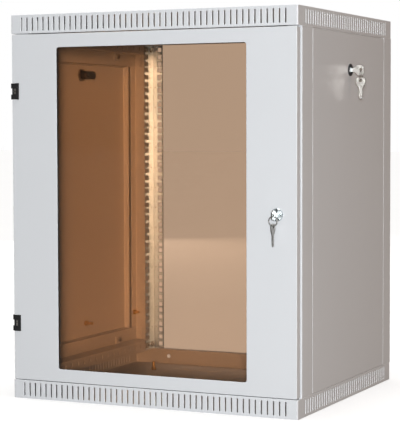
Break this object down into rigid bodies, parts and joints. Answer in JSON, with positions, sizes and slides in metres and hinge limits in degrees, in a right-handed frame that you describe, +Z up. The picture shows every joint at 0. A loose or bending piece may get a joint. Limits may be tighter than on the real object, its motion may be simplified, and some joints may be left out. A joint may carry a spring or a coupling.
{
  "type": "network server rack cabinet",
  "caption": "Closed 19-inch network cabinet: vented roof and base, tinted glass door on corner hinges, lift-off side panels, slotted depth bars, square-hole rails, cam locks with keys.",
  "frame": {"origin": "middle of the base tray's underside, on the plane the cabinet stands on", "axes": "+Z up, door faces -Y, +X to the right seen from the door"},
  "size_m": [0.636, 0.5496, 0.748],
  "materials": {
    "cabinet_paint": "fine textured light grey powder coat",
    "tinted_glass": "bronze-tinted toughened glass, polished",
    "gasket_foam": "matt black foam tape",
    "zinc_plate": "yellowish zinc plate, satin",
    "fastener_steel": "zinc-plated, satin",
    "earth_brass": "bright",
    "hinge_black": "moulded, fine grain",
    "lock_chrome": "polished",
    "lock_black": "satin moulded",
    "lock_steel": "passivated zinc",
    "key_nickel": "nickel plate, lightly brushed"
  },
  "bodies": {
    "frame": {"base_tray": "cabinet_paint", "cable_entry_covers": "cabinet_paint", "depth_bar_lower_left": "cabinet_paint", "depth_bar_lower_right": "cabinet_paint", "depth_bar_upper_left": "cabinet_paint", "depth_bar_upper_right": "cabinet_paint", "earth_nuts": "earth_brass", "earth_studs": "earth_brass", "frame_screws": "fastener_steel", "front_post_left": "cabinet_paint", "front_post_right": "cabinet_paint", "hinge_lug_lower": "hinge_black", "hinge_lug_screws": "fastener_steel", "hinge_lug_upper": "hinge_black", "rail_bolts": "fastener_steel", "rail_front_left": "zinc_plate", "rail_front_right": "zinc_plate", "rail_nuts": "fastener_steel", "rail_rear_left": "zinc_plate", "rail_rear_right": "zinc_plate", "rear_post_left": "cabinet_paint", "rear_post_right": "cabinet_paint", "side_beam_lower_left": "cabinet_paint", "side_beam_lower_right": "cabinet_paint", "side_beam_upper_left": "cabinet_paint", "side_beam_upper_right": "cabinet_paint", "top_cover": "cabinet_paint"},
    "door": {"door_frame": "cabinet_paint", "door_glass": "tinted_glass", "glass_gasket": "gasket_foam", "hinge_block_lower": "hinge_black", "hinge_block_upper": "hinge_black", "hinge_pins": "fastener_steel", "hinge_block_screws": "fastener_steel", "door_lock_housing": "lock_chrome", "door_lock_nut": "lock_steel"},
    "door_barrel": {"door_lock_plug": "lock_chrome", "door_lock_cam": "lock_steel", "door_lock_cam_screw": "fastener_steel"},
    "door_key": {"door_key": "key_nickel"},
    "door_ring": {"door_key_ring": "key_nickel"},
    "door_spare": {"door_spare_key": "key_nickel"},
    "left_panel": {"side_panel_left": "cabinet_paint", "earth_stud_left": "earth_brass", "left_lock_housing": "lock_black", "left_lock_nut": "lock_steel"},
    "left_barrel": {"left_lock_plug": "lock_chrome", "left_lock_cam": "lock_steel", "left_lock_cam_screw": "fastener_steel"},
    "right_panel": {"side_panel_right": "cabinet_paint", "earth_stud_right": "earth_brass", "right_lock_housing": "lock_black", "right_lock_nut": "lock_steel"},
    "right_barrel": {"right_lock_plug": "lock_chrome", "right_lock_cam": "lock_steel", "right_lock_cam_screw": "fastener_steel"},
    "right_key": {"right_key": "key_nickel"},
    "right_ring": {"right_key_ring": "key_nickel"},
    "right_spare": {"right_spare_key": "key_nickel"}
  },
  "joints": [
    {"name": "door_hinge", "type": "hinge", "parent": "frame", "child": "door", "pos_m": [-0.2995, -0.254, 0.374], "axis": [0, 0, -1], "range_deg": [0, 180]},
    {"name": "door_lock_turn", "type": "hinge", "parent": "door", "child": "door_barrel", "pos_m": [0.2592, -0.26, 0.3711], "axis": [0, -1, 0], "range_deg": [-90, 0]},
    {"name": "door_key_pull", "type": "slide", "parent": "door_barrel", "child": "door_key", "axis": [0, -1, 0], "range_m": [0, 0.03]},
    {"name": "door_key_ring_swing", "type": "hinge", "parent": "door_key", "child": "door_ring", "pos_m": [0.2592, -0.2798, 0.369], "axis": [1, 0, 0], "range_deg": [-15, 15]},
    {"name": "door_spare_key_swing", "type": "hinge", "parent": "door_ring", "child": "door_spare", "pos_m": [0.2592, -0.2798, 0.3524], "axis": [1, 0, 0], "range_deg": [-15, 15]},
    {"name": "left_panel_removal", "type": "slide", "parent": "frame", "child": "left_panel", "axis": [-1, 0, 0], "range_m": [0, 0.15]},
    {"name": "left_lock_turn", "type": "hinge", "parent": "left_panel", "child": "left_barrel", "pos_m": [-0.3, 0.012, 0.64], "axis": [-1, 0, 0], "range_deg": [-90, 0]},
    {"name": "right_panel_removal", "type": "slide", "parent": "frame", "child": "right_panel", "axis": [1, 0, 0], "range_m": [0, 0.15]},
    {"name": "right_lock_turn", "type": "hinge", "parent": "right_panel", "child": "right_barrel", "pos_m": [0.3, 0.012, 0.64], "axis": [1, 0, 0], "range_deg": [-90, 0]},
    {"name": "right_key_pull", "type": "slide", "parent": "right_barrel", "child": "right_key", "axis": [1, 0, 0], "range_m": [0, 0.03]},
    {"name": "right_key_ring_swing", "type": "hinge", "parent": "right_key", "child": "right_ring", "pos_m": [0.3222, 0.012, 0.6379], "axis": [0, 1, 0], "range_deg": [-15, 15]},
    {"name": "right_spare_key_swing", "type": "hinge", "parent": "right_ring", "child": "right_spare", "pos_m": [0.3222, 0.012, 0.6213], "axis": [0, 1, 0], "range_deg": [-15, 15]}
  ]
}
